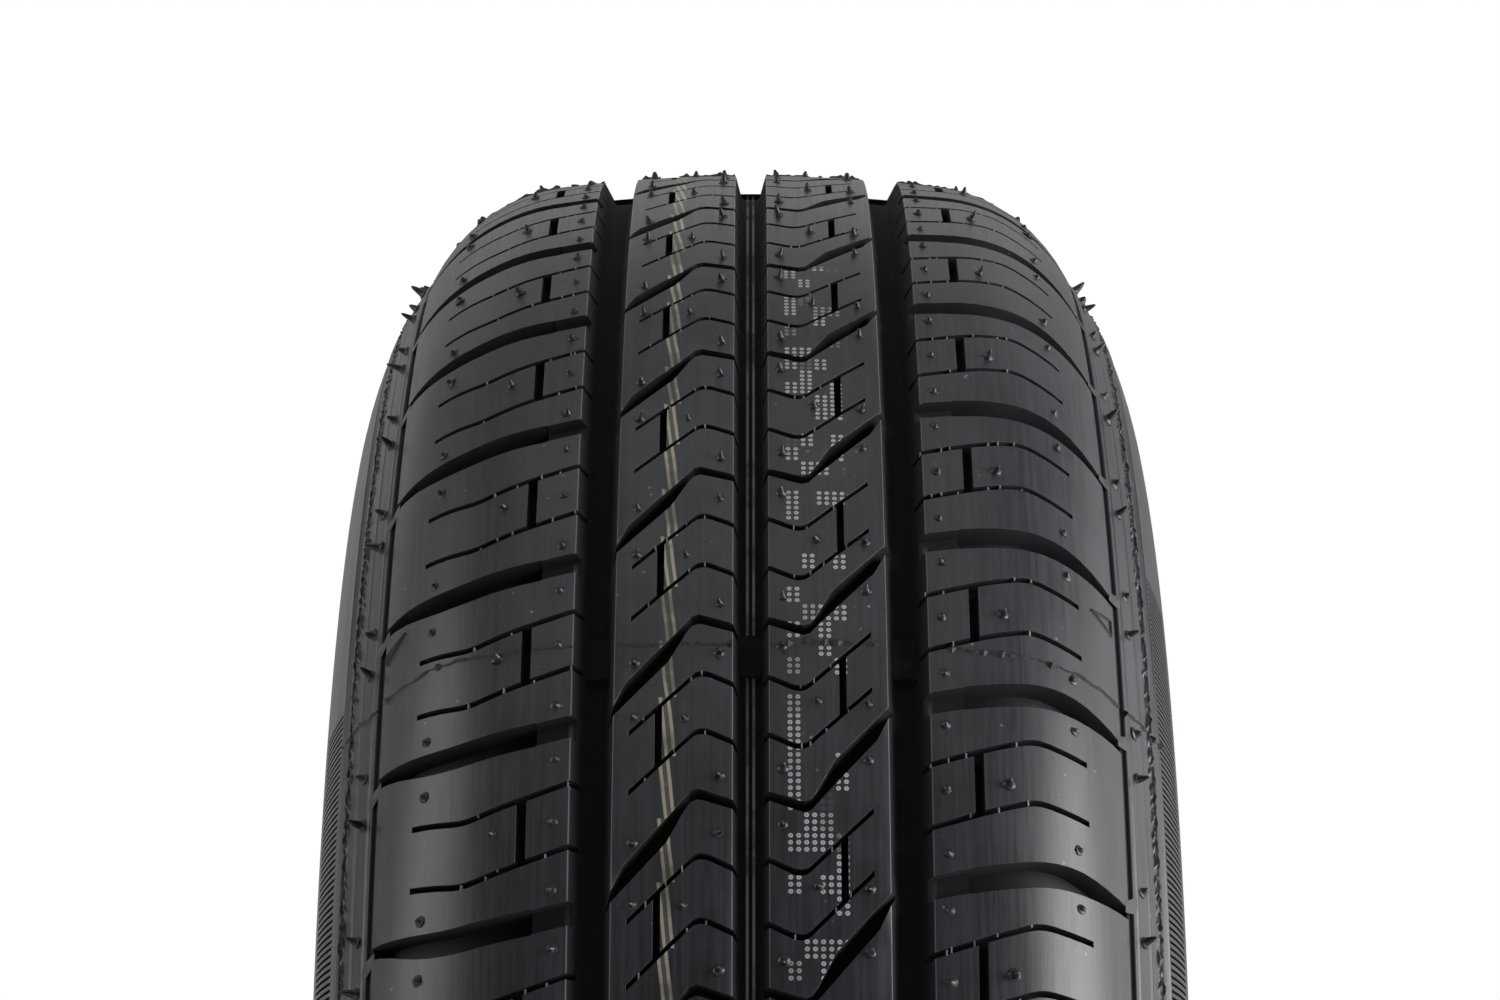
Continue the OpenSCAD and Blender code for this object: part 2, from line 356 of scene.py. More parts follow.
# One pitch of the tread as an open sheet whose two ends fit each other
def flatTile(lag):
    def strip(bm):
        ends = [(s, -1 if t == 0 else t + 1 if t == tread["flatEnd"] else t) for s, t in seamPath]
        prism(bm, ends + shifted(ends[::-1], pitch), -20, 5)

    def sipes(bm):
        leaf = [onRib(*p) for p in (
            (59.4, -7), (66.0, 24), (66.8, 29), (65.6, 34.5), (62.5, 38.5), (27, 90), (15.5, 99),
            (6.5, 107), (5, 107), (10.0, 99), (39, 55), (56.0, 40), (60.3, 35), (61.8, 29),
            (61.2, 24), (55.3, -7))]
        prism(bm, shifted(leaf, pitch), -tread["crossDepth"], 2, 0.25)
        ribPair = sipePair(ribSipePath(), ribApart, onRib(0, 59)[1], tread["ribNotchW"])
        shoulderPair = sipePair(
            shoulderSipePath(lag), shoulderApart, onShoulder(0, 20.6, 0)[1], tread["notchW"])
        for pair in (ribPair, shoulderPair):
            prism(bm, shifted(pair, pitch), -tread["sipeDepth"], 2)
        path = [onShoulder(*p, lag) for p in ((100.8, 17.5), (92.1, 64.5), (100.4, 98.6))]
        path = roundedPath(path, 9, 5)
        share = np.interp([p[1] for p in path], [43, 68, 78, 86, 91.5], [1, 1.03, 0.97, 0.72, 0.38])
        prism(bm, grooveBand(path, share * tread["lateralW"]), -tread["lateralDepth"], 2, 0.3)

    def tieBar(bm):
        path = [onShoulder(106.4, -6.6, lag), onShoulder(100.6, 18.6, lag)]
        prism(bm, grooveBand(path, [tread["lateralW"] * 0.98] * 2), -tread["tieBarDepth"], 2, 0.2)

    slab = flatSlab(20, 140)  # long enough for one pitch with its slant
    boolean(slab, cutShape(strip), "INTERSECT")
    boolean(slab, cutShape(sipes), "DIFFERENCE")
    boolean(slab, cutShape(tieBar), "DIFFERENCE")
    bm = bmesh.new()
    bm.from_mesh(slab.data)
    bpy.data.objects.remove(slab)
    bmesh.ops.remove_doubles(bm, verts=bm.verts, dist=0.001)
    bmesh.ops.dissolve_limit(bm, angle_limit=math.radians(0.5), verts=bm.verts, edges=bm.edges)

    # eased edges along the sipes and the lateral groove
    def isTop(face):
        return face.normal.z > 0.99 and abs(face.calc_center_median().z) < 1e-3
    edges = []
    for e in bm.edges:
        if len(e.link_faces) == 2 and isTop(e.link_faces[0]) != isTop(e.link_faces[1]):
            wall = e.link_faces[1] if isTop(e.link_faces[0]) else e.link_faces[0]
            stripEnd = min(v.co.z for v in wall.verts) < -8 and abs(wall.normal.x) > 0.2
            outerEnd = min(v.co.y for v in e.verts) > tread["flatEnd"] - 0.5
            if abs(wall.normal.z) < 0.5 and not stripEnd and not outerEnd:
                edges.append(e)
    bmesh.ops.bevel(bm, geom=edges, offset=tread["edgeRound"], segments=1, profile=0.5,
                    affect="EDGES", clamp_overlap=True)

    # the slab's underside and its cut ends go
    drop = []
    for f in bm.faces:
        points = [v.co for v in f.verts]
        hidden = all(c.z < -11.9 for c in points) or all(c.y < 0.001 for c in points)
        hidden = hidden or all(c.y > tread["flatEnd"] - 0.01 for c in points)
        if hidden or any(all(onSeam(c, k) for c in points) for k in (0, 1)):
            drop.append(f)
    bmesh.ops.delete(bm, geom=drop, context="FACES")

    # rows and columns that let it bend round the tyre
    for t in (14, 23.5, 38, 48, 52, 56, 60, 64, 68, 71.5, 75, 78.5, 82, 85.2, 88.2):
        cutRow(bm, (0, t, 0), (0, 1, 0), lambda c: True)
    for k in range(-2, 10):
        cutRow(bm, (centreColumn + (5 + k) * columnStep, 0, 0), (1, 0, 0), lambda c: c.y < 38)
        cutRow(bm, (shoulderSeam + k * columnStep, 0, 0), (1, 0, 0), lambda c: c.y > 38)
    bmesh.ops.remove_doubles(bm, verts=bm.verts, dist=0.002)
    bmesh.ops.triangulate(bm, faces=bm.faces, quad_method="BEAUTY", ngon_method="BEAUTY")
    return bm


# The rest of the section as a grid on the tile's end, bead and lining included
def addSide(bm):
    base = section["treadHalfW"]
    rows = [tread["flatEnd"]] + [base + d for d in rimLength if base + d > tread["flatEnd"] + 0.3]
    insideStart = base + rimLength[rimInside]
    offset = (centreColumn - shoulderSeam + columnStep / 2) % columnStep - columnStep / 2
    grid = []
    for t in rows:
        twist = offset * max(0, (t - insideStart) / (rows[-1] - insideStart))
        grid.append([bm.verts.new((shoulderSeam + k * columnStep + twist, t, 0)) for k in range(5)])
    for a, b in zip(grid, grid[1:]):
        for k in range(4):
            bm.faces.new([a[k], a[k + 1], b[k + 1], b[k]])


def markSharp(bm, degrees):
    bm.normal_update()
    for f in bm.faces:
        f.smooth = True
    for e in bm.edges:
        e.smooth = len(e.link_faces) < 2 or e.calc_face_angle(0) < math.radians(degrees)


# Empty tree with named inputs and one shape as its output, and the sockets that give those inputs
def shapeTree(name, result, **sockets):
    tree = bpy.data.node_groups.new(name, "GeometryNodeTree")
    for label, kind in sockets.items():
        tree.interface.new_socket(label, in_out="INPUT", socket_type="NodeSocket" + kind)
    tree.interface.new_socket(result, in_out="OUTPUT", socket_type="NodeSocketGeometry")
    return tree, addNode(tree, "NodeGroupInput").node.outputs


# Repeats a shape round the spin axis, with step and start in degrees
ringTree, given = shapeTree(
    "repeatRoundAxis", "Ring", Shape="Geometry", Count="Int", Step="Float", Start="Float", Weld="Float",
    Material="Material")
points = addNode(ringTree, "GeometryNodeMeshLine", {"Count": given["Count"], "Offset": (0, 0, 0)})
index = addNode(ringTree, "GeometryNodeInputIndex")
turned = addNode(ringTree, "ShaderNodeMath", {0: index, 1: given["Step"], 2: given["Start"]},
                 operation="MULTIPLY_ADD")
lifted = addNode(ringTree, "ShaderNodeMath", {0: turned, 1: -math.pi / 180}, operation="MULTIPLY")
rotation = addNode(ringTree, "ShaderNodeCombineXYZ", {"Y": lifted})
copies = addNode(ringTree, "GeometryNodeInstanceOnPoints",
                 {"Points": points, "Instance": given["Shape"], "Rotation": rotation})
real = addNode(ringTree, "GeometryNodeRealizeInstances", {"Geometry": copies})
welded = addNode(ringTree, "GeometryNodeMergeByDistance", {"Geometry": real, "Distance": given["Weld"]})
painted = addNode(ringTree, "GeometryNodeSetMaterial", {"Geometry": welded, "Material": given["Material"]})
addNode(ringTree, "NodeGroupOutput", {"Ring": painted})


def ringOf(obj, material, count, step, start=0.0, weld=0.0):
    bakeNodes(obj, ringTree, {
        "Count": count, "Step": step, "Start": start, "Weld": weld, "Material": material})
    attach(obj, "root")
    print(obj.name, triangleCount(obj), "triangles")
    return obj


# Tread rubber: carbon black compound straight from the mould, satin with a drawn sheen. Sizes are in
# millimetres, and places across the tread count from the centre plane
rubberLook = {
    # the near-black colour below is painted shade, and the pale edge colour is a painted highlight along
    # the main grooves' edges
    "base": "#191b1f", "light": "#292c31", "dust": "#8b9094", "paintedShade": "#020203", "edge": "#5d6165",
    "ior": 1.52, "gloss": 0.5, "roughness": 0.4, "roughnessSpread": 0.2, "dullRoughness": 0.6,
    "streakSize": (33.333, 1.1111, 2.0), "cloudSize": 22.222, "speckSize": 4.762,
    "grainSize": 0.38462,  # the mould's grain is finer, and is drawn as coarse as it needs to show
    "bump": 0.12, "bumpHeight": 0.3, "grainRise": 0.6, "streakRise": 0.8, "gapRise": -3.0,
    "shoulderFade": (55, 74), "shoulderLineFrom": (84.5, 85.5),
    "grooveEdges": (4.5, 32.9, 43.1), "grooveEdgeHalfW": 0.45,
    # fine ribs: radii of their ends, degrees where the row starts on the left and right, and its length
    "ribSpacing": 1.8, "ribR": 270, "ribEnds": (269.9, 254.5), "ribSlant": -0.04, "ribSide": (101.2, 101.7),
    "ribsFrom": (38.5, 48.2), "ribsLength": 86.0, "ribGapHalf": 0.14, "gapGloss": 0.02,
    "tornSize": 2.381, "tornDrop": -4.3, "tornSpread": 5.0, "tornHalfW": 0.5, "tornSide": (90, 95),
    "stripe": "#979180", "stripeAt": (-20.9, -19.05), "stripeHalfW": 0.3, "betweenStripes": 0.16,
    "stripeSlip": 1.7, "slipsPerPitch": 3, "slipStart": 0.849, "wanderSize": 16.667,
    "grooveLine": "#85898d", "grooveLineAt": (-0.85, 0.7), "grooveLineHalfW": 0.22,
    "dots": "#b4b8bb", "dotsFrom": 8.4, "dotsTo": 23.4, "dotStep": (1.75, 1.9), "dotR": 0.58,
    "dotHole": 0.22, "dotBlock": (3, 2),
    "dotsMiddle": 36, "dotsHalf": 27,  # degrees up the front of the tread
}


def rubberMaterial(name, look, paint):
    material = bpy.data.materials.new(name)
    material.use_nodes = True
    tree = material.node_tree
    tree.nodes.clear()

    def calc(operation, *values):
        return addNode(tree, "ShaderNodeMath", dict(enumerate(values)), operation=operation)

    def ramp(value, low, high, first, last):
        return addNode(tree, "ShaderNodeMapRange", {
            "Value": value, "From Min": low, "From Max": high, "To Min": first, "To Max": last,
        }, interpolation_type="SMOOTHSTEP")

    def strip(value, middle, half, soft):
        away = calc("ABSOLUTE", calc("SUBTRACT", value, middle))
        return ramp(away, half, half + soft, 1.0, 0.0)

    def layOver(mask, under, name):
        return addNode(tree, "ShaderNodeMix", {0: mask, 6: under, 7: linearColor(look[name])},
                       output=2, data_type="RGBA")

    def metres(name):
        return [value * mm for value in look[name]]

    # Object coordinates unrolled: length along the tread, distance across it, radius
    place = addNode(tree, "ShaderNodeTexCoord", output="Object")
    xyz = addNode(tree, "ShaderNodeSeparateXYZ", {0: place}).node.outputs
    angle = calc("ARCTAN2", xyz["Z"], xyz["X"])
    flat = addNode(tree, "ShaderNodeCombineXYZ", {"X": xyz["X"], "Z": xyz["Z"]})
    radius = addNode(tree, "ShaderNodeVectorMath", {0: flat}, output="Value", operation="LENGTH")
    along = calc("MULTIPLY", angle, section["outerR"] * mm)
    unrolled = addNode(tree, "ShaderNodeCombineXYZ", {"X": along, "Y": xyz["Y"], "Z": radius})

    stretched = addNode(tree, "ShaderNodeVectorMath", {
        0: unrolled, 1: [1 / mm / size for size in look["streakSize"]]}, operation="MULTIPLY")
    streaks, clouds, grains, torn = (
        addNode(tree, "ShaderNodeTexNoise", {
            "Vector": vector, "Scale": scale, "Detail": detail, "Roughness": roughness})
        for vector, scale, detail, roughness in (
            (stretched, 1.0, 4.0, 0.6), (place, 1 / mm / look["cloudSize"], 5.0, 0.65),
            (place, 1 / mm / look["grainSize"], 2.0, 0.6), (place, 1 / mm / look["tornSize"], 3.0, 0.6)))
    specks = addNode(tree, "ShaderNodeTexVoronoi", {"Vector": place, "Scale": 1 / mm / look["speckSize"]},
                     output="Distance")
    tone = calc("MULTIPLY_ADD", streaks, 0.55, calc("MULTIPLY", clouds, 0.45))
    color = layOver(ramp(tone, 0.36, 0.64, 0.0, 1.0), linearColor(look["base"]), "light")
    dust = calc("MULTIPLY", ramp(specks, 0.05, 0.11, 0.5, 0.0), ramp(clouds, 0.5, 0.6, 0.0, 1.0))
    color = layOver(dust, color, "dust")
    smoothest = look["roughness"] - look["roughnessSpread"] / 2
    rough = calc("MULTIPLY_ADD", streaks, look["roughnessSpread"], smoothest)

    # dull, and darkened with painted shade on groove floors and on the walls of grooves and sipes, in the
    # shoulder line and along the edges of the cuts, less so on the shoulders
    depth = addNode(tree, "ShaderNodeAttribute", output="Fac", attribute_name="depth")  # mm, below 0
    facing = addNode(tree, "ShaderNodeNewGeometry", output="Normal")
    outward = addNode(tree, "ShaderNodeVectorMath", {0: flat}, operation="NORMALIZE")
    level = addNode(tree, "ShaderNodeVectorMath", {0: facing, 1: outward}, output="Value",
                    operation="DOT_PRODUCT")
    wall = calc("MULTIPLY", ramp(level, 0.55, 0.9, 1.0, 0.0), ramp(depth, -0.75, -0.25, 1.0, 0.0))
    sunk = calc("MAXIMUM", wall, ramp(depth, -5.0, -3.4, 1.0, 0.0))
    fromMiddle = calc("ABSOLUTE", xyz["Y"])
    sunk = calc("MULTIPLY", sunk, ramp(fromMiddle, *metres("shoulderFade"), 1.0, 0.3))
    shoulderLine = calc("MULTIPLY", ramp(depth, -0.75, -0.35, 1.0, 0.0),
                        ramp(fromMiddle, *metres("shoulderLineFrom"), 0.0, 1.0))
    sunk = calc("MAXIMUM", sunk, shoulderLine)
    edges = [strip(fromMiddle, at, look["grooveEdgeHalfW"] * mm, 0.2 * mm) for at in metres("grooveEdges")]
    besideGroove = calc("MAXIMUM", calc("MAXIMUM", edges[0], edges[1]), edges[2])
    cutEdge = calc("MULTIPLY", ramp(depth, -0.08, -0.01, 1.0, 0.0), calc("SUBTRACT", 1.0, besideGroove))
    cutEdge = calc("MULTIPLY", cutEdge, ramp(fromMiddle, *metres("shoulderFade"), 1.0, 0.6))
    sunk = calc("MAXIMUM", sunk, cutEdge)
    # painted highlight on the eased edges beside the main grooves
    edgeHighlight = calc("MULTIPLY", ramp(depth, -0.34, -0.2, 0.0, 1.0), ramp(depth, -0.12, -0.03, 1.0, 0.0))
    color = layOver(calc("MULTIPLY", edgeHighlight, besideGroove), color, "edge")
    # painted shade in the grooves, the sipes and the shoulder line
    color = layOver(sunk, color, "paintedShade")
    rough = calc("MULTIPLY_ADD", sunk, look["dullRoughness"], rough)

    # fine ribs on each sidewall, with dull gaps between them darkened with painted shade
    high, low = look["ribEnds"]
    drop = calc("MULTIPLY", calc("SUBTRACT", high * mm, radius), 1 / mm)  # mm below their tops
    slant = calc("MULTIPLY", drop, look["ribSlant"])
    phase = calc("MULTIPLY_ADD", angle, look["ribR"] / look["ribSpacing"], slant)
    left, right = (math.radians(a) for a in look["ribsFrom"])
    top = calc("MULTIPLY_ADD", calc("SIGN", xyz["Y"]), (right - left) / 2, (right + left) / 2)
    band = calc("MULTIPLY", ramp(drop, 0.0, 0.5, 0.0, 1.0),
                ramp(drop, high - low - 1, high - low, 1.0, 0.0))
    band = calc("MULTIPLY", band, ramp(fromMiddle, *metres("ribSide"), 0.0, 1.0))
    below = calc("SUBTRACT", top, angle)
    length = math.radians(look["ribsLength"])
    band = calc("MULTIPLY", band, ramp(below, 0.0, 0.006, 0.0, 1.0))
    band = calc("MULTIPLY", band, ramp(below, length - 0.006, length, 1.0, 0.0))
    gap = calc("MULTIPLY", strip(calc("FRACT", phase), 0.5, look["ribGapHalf"], 0.14), band)
    # torn strip above them, where the tread's part of the mould meets the sidewall plate: rougher, and
    # darkened with painted shade beside the flash there
    ragged = calc("MULTIPLY_ADD", torn, look["tornSpread"], drop)
    ragged = strip(ragged, look["tornDrop"] + look["tornSpread"] / 2, look["tornHalfW"], 0.7)
    ragged = calc("MULTIPLY", ragged, ramp(fromMiddle, *metres("tornSide"), 0.0, 0.6))
    gap = calc("MAXIMUM", gap, ragged)
    color = layOver(gap, color, "paintedShade")
    rough = calc("MULTIPLY_ADD", gap, look["dullRoughness"], rough)
    gloss = calc("MULTIPLY_ADD", gap, look["gapGloss"] - look["gloss"], look["gloss"])

    if paint:
        # two printed lines, which slipped sideways a little between one sipe and the next
        onTop = calc("MULTIPLY", ramp(depth, -0.3, -0.1, 0.0, 1.0),
                     ramp(radius, 0.303, 0.306, 0.0, 1.0))  # above the lining, which has no depth either
        slow = addNode(tree, "ShaderNodeVectorMath", {0: unrolled, 1: (1 / mm / look["wanderSize"], 0, 0)},
                       operation="MULTIPLY")
        wander = addNode(tree, "ShaderNodeTexNoise", {"Vector": slow, "Scale": 1.0})
        slipStart = tread["start"] / pitchAngle + look["slipStart"]
        blocks = calc("MULTIPLY_ADD", angle, tread["pitches"] * look["slipsPerPitch"] / 2 / math.pi,
                      -look["slipsPerPitch"] * slipStart)
        slip = calc("MULTIPLY_ADD", wander, 0.5, calc("FRACT", blocks))
        across = calc("MULTIPLY_ADD", calc("SUBTRACT", slip, 0.75), look["stripeSlip"] * mm, xyz["Y"])
        worn = ramp(clouds, 0.40, 0.55, 0.35, 0.95)
        stripes = [strip(across, y * mm, look["stripeHalfW"] * mm, 0.2 * mm) for y in look["stripeAt"]]
        between = strip(across, sum(look["stripeAt"]) / 2 * mm, 0.8 * mm, 0.2 * mm)
        both = calc("MAXIMUM", calc("MAXIMUM", stripes[0], stripes[1]),
                    calc("MULTIPLY", between, look["betweenStripes"]))
        color = layOver(calc("MULTIPLY", calc("MULTIPLY", both, worn), onTop), color, "stripe")

        # two lines on the middle groove's floor
        onFloor = ramp(depth, -6.3, -5.9, 1.0, 0.0)
        lines = [strip(xyz["Y"], y, look["grooveLineHalfW"] * mm, 0.2 * mm) for y in metres("grooveLineAt")]
        color = layOver(calc("MULTIPLY", calc("MAXIMUM", lines[0], lines[1]),
                             calc("MULTIPLY", onFloor, worn)), color, "grooveLine")

        # plain ring-shaped dots in blocks of three along by two across, each switched on or off at random
        stepAlong, stepAcross = look["dotStep"]
        cells = addNode(tree, "ShaderNodeVectorMath", {
            0: unrolled, 1: (1 / mm / stepAlong, 1 / mm / stepAcross, 0),
            2: (0, -look["dotsFrom"] / stepAcross, 0)}, operation="MULTIPLY_ADD")
        inCell = addNode(tree, "ShaderNodeVectorMath", {0: cells}, operation="FRACTION")
        offset = addNode(tree, "ShaderNodeVectorMath", {
            0: inCell, 1: (stepAlong, stepAcross, 0), 2: (-stepAlong / 2, -stepAcross / 2, 0)},
            operation="MULTIPLY_ADD")
        away = addNode(tree, "ShaderNodeVectorMath", {0: offset}, output="Value", operation="LENGTH")
        dot = calc("MULTIPLY", ramp(away, look["dotR"] - 0.1, look["dotR"] + 0.08, 1.0, 0.0),
                   ramp(away, look["dotHole"] - 0.1, look["dotHole"] + 0.12, 0.35, 1.0))
        block = addNode(tree, "ShaderNodeVectorMath", {
            0: cells, 1: (1 / look["dotBlock"][0], 1 / look["dotBlock"][1], 1)}, operation="MULTIPLY")
        blockNumber = addNode(tree, "ShaderNodeVectorMath", {0: block}, operation="FLOOR")
        chance = addNode(tree, "ShaderNodeTexWhiteNoise", {"Vector": blockNumber}, noise_dimensions="2D")
        middle = (look["dotsFrom"] + look["dotsTo"]) / 2 * mm
        inBand = strip(xyz["Y"], middle, (look["dotsTo"] - look["dotsFrom"]) / 2 * mm, 0.1 * mm)
        inLength = strip(angle, math.radians(look["dotsMiddle"]), math.radians(look["dotsHalf"]), 0.01)
        mask = calc("MULTIPLY", calc("MULTIPLY", dot, ramp(chance, 0.56, 0.72, 0.0, 0.85)),
                    calc("MULTIPLY", inBand, onTop))
        color = layOver(calc("MULTIPLY", mask, inLength), color, "dots")

    height = calc("MULTIPLY_ADD", streaks, look["streakRise"], calc("MULTIPLY", gap, look["gapRise"]))
    height = calc("MULTIPLY_ADD", grains, look["grainRise"], height)
    bump = addNode(tree, "ShaderNodeBump", {
        "Strength": look["bump"], "Distance": look["bumpHeight"] * mm, "Height": height})
    surface = addNode(tree, "ShaderNodeBsdfPrincipled", {
        "Base Color": color, "Roughness": rough, "IOR": look["ior"], "Specular IOR Level": gloss,
        "Normal": bump})
    addNode(tree, "ShaderNodeOutputMaterial", {"Surface": surface})
    return material


treadRubber = rubberMaterial("treadRubber", rubberLook, True)
# Mould flash and vent spews: the same compound, given a near-black colour as painted shade on these small
# raised bits
flashLook = dict(rubberLook, base="#050506", light="#0d0e10", roughness=0.42)
flashRubber = rubberMaterial("flashRubber", flashLook, False)
# Torn webs and crumbs in the sipes: the same compound, made pale as a painted highlight
webHighlightLook = dict(rubberLook, base="#33373a", light="#7d8184", roughness=0.6)
webHighlightRubber = rubberMaterial("webHighlightRubber", webHighlightLook, False)
print("materials ready")


# Degrees above the level of the spin axis at which a half's first pitch starts
def patternStart(side):
    return tread["start"] if side == 1 else tread["start"] + tread["halfShift"] * pitchAngle


# The tyre: a left and a right tile with their sides, bent and repeated 41 times
whole = bmesh.new()
for side, lag in ((1, tread["shoulderLag"]), (-1, 0.0)):
    half = flatTile(lag)
    addSide(half)
    bmesh.ops.remove_doubles(half, verts=half.verts, dist=0.002)
    markSharp(half, 25)
    turn = patternStart(side)
    level = half.verts.layers.float.new("depth")
    for v in half.verts:
        v[level] = v.co.z
        v.co = onTyre(v.co.x, v.co.y, v.co.z, side, turn)
    part = bpy.data.meshes.new("half")
    half.to_mesh(part)
    half.free()
    whole.from_mesh(part)
    bpy.data.meshes.remove(part)
tyre = ringOf(meshObject("moulded_tyre", whole), treadRubber, tread["pitches"], pitchAngle, weld=0.01 * mm)
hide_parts("tyre")
check = bmesh.new()
check.from_mesh(tyre.data)
print("open edges", sum(1 for e in check.edges if not e.is_manifold))
check.free()
surfaceTree = BVHTree.FromPolygons([v.co for v in tyre.data.vertices],
                                   [p.vertices[:] for p in tyre.data.polygons])
random = np.random.default_rng(7)

# Wear bars across the three main grooves
wearBar = {"rows": 7, "start": 35.9, "height": 1.6, "length": 13.0, "sunk": 0.4, "round": 0.5}


def addWearBar(bm, t0, t1):
    floor, half = -tread["grooveDepth"], wearBar["length"] / 2
    top = floor + wearBar["height"]
    lengths = [-half, -half + wearBar["round"], -4, 0, 4, half - wearBar["round"], half]
    heights = [floor, top, top, top, top, top, floor]
    widths = np.linspace(t0, t1, 5)
    grid = []
    for s, h in zip(lengths, heights):
        outline = [(t, h) for t in widths] + [(t1, floor - wearBar["sunk"]), (t0, floor - wearBar["sunk"])]
        ring = []
        for t, level in outline:
            side = 1 if t >= 0 else -1
            corner = bm.verts.new(onTyre(side * s, abs(t), level, side))
            corner[bm.verts.layers.float["depth"]] = level
            ring.append(corner)
        grid.append(ring)
    for a, b in zip(grid, grid[1:]):
        for k in range(len(a)):
            bm.faces.new([a[k], b[k], b[(k + 1) % len(a)], a[(k + 1) % len(a)]])
    bm.faces.new(grid[0])
    bm.faces.new(grid[-1][::-1])


bm = bmesh.new()
bm.verts.layers.float.new("depth")
for t0, t1 in ((-3.9, 3.9), (33.4, 42.4), (-42.4, -33.4)):
    addWearBar(bm, t0, t1)
bmesh.ops.recalc_face_normals(bm, faces=bm.faces)
markSharp(bm, 30)
ringOf(meshObject("wear_bars", bm), treadRubber, wearBar["rows"], 360 / wearBar["rows"], wearBar["start"])

# Torn webs of rubber across the sipes, where the mould's blades had vent slots
web = {"ribAt": (24, 36, 52, 72), "shoulderAt": (2, 10, 17, 33, 42, 50), "wander": 1.6, "share": 0.65,
       "reach": (0.2, 0.5), "width": 0.34, "low": -1.0, "high": 0.0}


def addWeb(bm, s, t, side, turn):
    half, reach = web["width"] / 2, tread["sipeW"] * random.uniform(*web["reach"])
    s = s + random.choice((-1, 1)) * (tread["sipeW"] * 0.55 - reach)
    corners = [bm.verts.new(onTyre(s + x * reach, t + y * half, h, side, turn))
               for h in (web["low"], web["high"]) for x, y in ((-1, -1), (1, -1), (1, 1), (-1, 1))]
    for face in ((3, 2, 1, 0), (4, 5, 6, 7), (0, 1, 5, 4), (1, 2, 6, 5), (2, 3, 7, 6), (3, 0, 4, 7)):
        bm.faces.new([corners[k] for k in face])


bm = bmesh.new()
for row in range(tread["pitches"]):
    for side, lag, shift in ((1, tread["shoulderLag"], 0.0), (-1, 0.0, tread["halfShift"])):
        turn = tread["start"] + (row + shift) * pitchAngle
        across = [(ribSipePath(), onRib(0, t)[1], ribApart) for t in web["ribAt"]]
        across += [(shoulderSipePath(lag), onShoulder(0, t, lag)[1], shoulderApart)
                   for t in web["shoulderAt"]]
        for path, middle, apart in across:
            for k in (0, 1):
                t = middle + random.uniform(-1, 1) * web["wander"]
                s = float(np.interp(t, [p[1] for p in path], [p[0] for p in path])) + k * apart
                if random.random() < web["share"]:
                    addWeb(bm, s, t, side, turn)
bmesh.ops.recalc_face_normals(bm, faces=bm.faces)
webs = meshObject("sipe_webs", bm)
webs.data.materials.append(webHighlightRubber)
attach(webs, "root")
print("sipe webs", triangleCount(webs), "triangles")

# Ridges left where the mould's parts meet
flash = {"seamFrom": 4.6, "seamTo": 112, "seamStep": 1.1, "seamHeight": 0.75, "seamHalfW": 0.75,
         "seamWander": 0.4, "tallShare": 0.1, "tallExtra": 0.9, "ringT": (104.2, 105.3, 106.1),
         "ringStep": 1.7, "ringHeight": 0.75, "ringHalfW": 0.7,
         "fineRings": ((94.4, 0.12, 1.1), (100.2, 0.16, 1.3), (109.3, 0.35, 1.3))}


# Ridge through stations of place, outward direction, height and half width
def addRidge(bm, stations, across):
    rows = []
    for place, up, height, half in stations:
        side = across(place, up)
        base = place - up * 0.12 * mm
        rows.append([bm.verts.new(base - side * half * mm), bm.verts.new(place + up * height * mm),
                     bm.verts.new(base + side * half * mm)])
    for a, b in zip(rows, rows[1:]):
        for k in range(3):
            bm.faces.new([a[k], b[k], b[(k + 1) % 3], a[(k + 1) % 3]])
    if len(rows) > 1:
        bm.faces.new(rows[0])
        bm.faces.new(rows[-1][::-1])


def roundAxis(place, up):
    return Vector((-place.z, 0, place.x)).normalized()


def alongSection(place, up):
    return up.cross(roundAxis(place, up))


# Where the mesh lies under a place on the tread, which way is up there, and how deep it lies
def surfacePoint(s, t, side, turn):
    high, low = onTyre(s, t, 3, side, turn), onTyre(s, t, -8, side, turn)
    place = surfaceTree.ray_cast(high, (low - high).normalized())[0]
    return place, (high - low).normalized(), (high - (place or low)).length / mm - 3


# Seams across the tread, on its top faces only
bm = bmesh.new()
for row in range(wearBar["rows"]):
    turn = wearBar["start"] + row * 360 / wearBar["rows"]
    for side in (1, -1):
        run, wander = [], 0.0
        for t in np.arange(flash["seamFrom"], flash["seamTo"], flash["seamStep"]):
            wander = 0.75 * wander + random.uniform(-1, 1) * flash["seamWander"]
            place, up, depth = surfacePoint(wander, t, side, turn)
            if place is None or depth > 0.4:
                addRidge(bm, run, roundAxis)
                run = []
            else:
                size = random.uniform(0.4, 1.0)
                size += flash["tallExtra"] if random.random() < flash["tallShare"] else 0.0
                run.append((place, up, flash["seamHeight"] * size, flash["seamHalfW"] * size))
        addRidge(bm, run, roundAxis)
# Rough rings on the two shoulders, one across the other
for side in (1, -1):
    for middle in flash["ringT"]:
        run = []
        for s in np.arange(0, math.tau * section["outerR"], flash["ringStep"]):
            t = middle + random.uniform(-0.5, 0.5)
            height = flash["ringHeight"] * random.uniform(0.1, 1) ** 2
            run.append((onTyre(s, t, 0, side), upAt(s, t, side), height, flash["ringHalfW"]))
        addRidge(bm, run + [run[0]], alongSection)
bmesh.ops.recalc_face_normals(bm, faces=bm.faces)
mouldFlash = meshObject("mould_flash", bm)
mouldFlash.data.materials.append(flashRubber)
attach(mouldFlash, "root")
print("mould flash", triangleCount(mouldFlash), "triangles")

# Fine turned rings beside the rough ones
bm = bmesh.new()
for side in (1, -1):
    for t, height, half in flash["fineRings"]:
        run = [(onTyre(s, t, 0, side), upAt(s, t, side), height, half) for s in (0, pitch / 6)]
        addRidge(bm, run, alongSection)
bmesh.ops.recalc_face_normals(bm, faces=bm.faces)
ringOf(meshObject("fine_rings", bm), treadRubber, tread["pitches"] * 6, pitchAngle / 6)

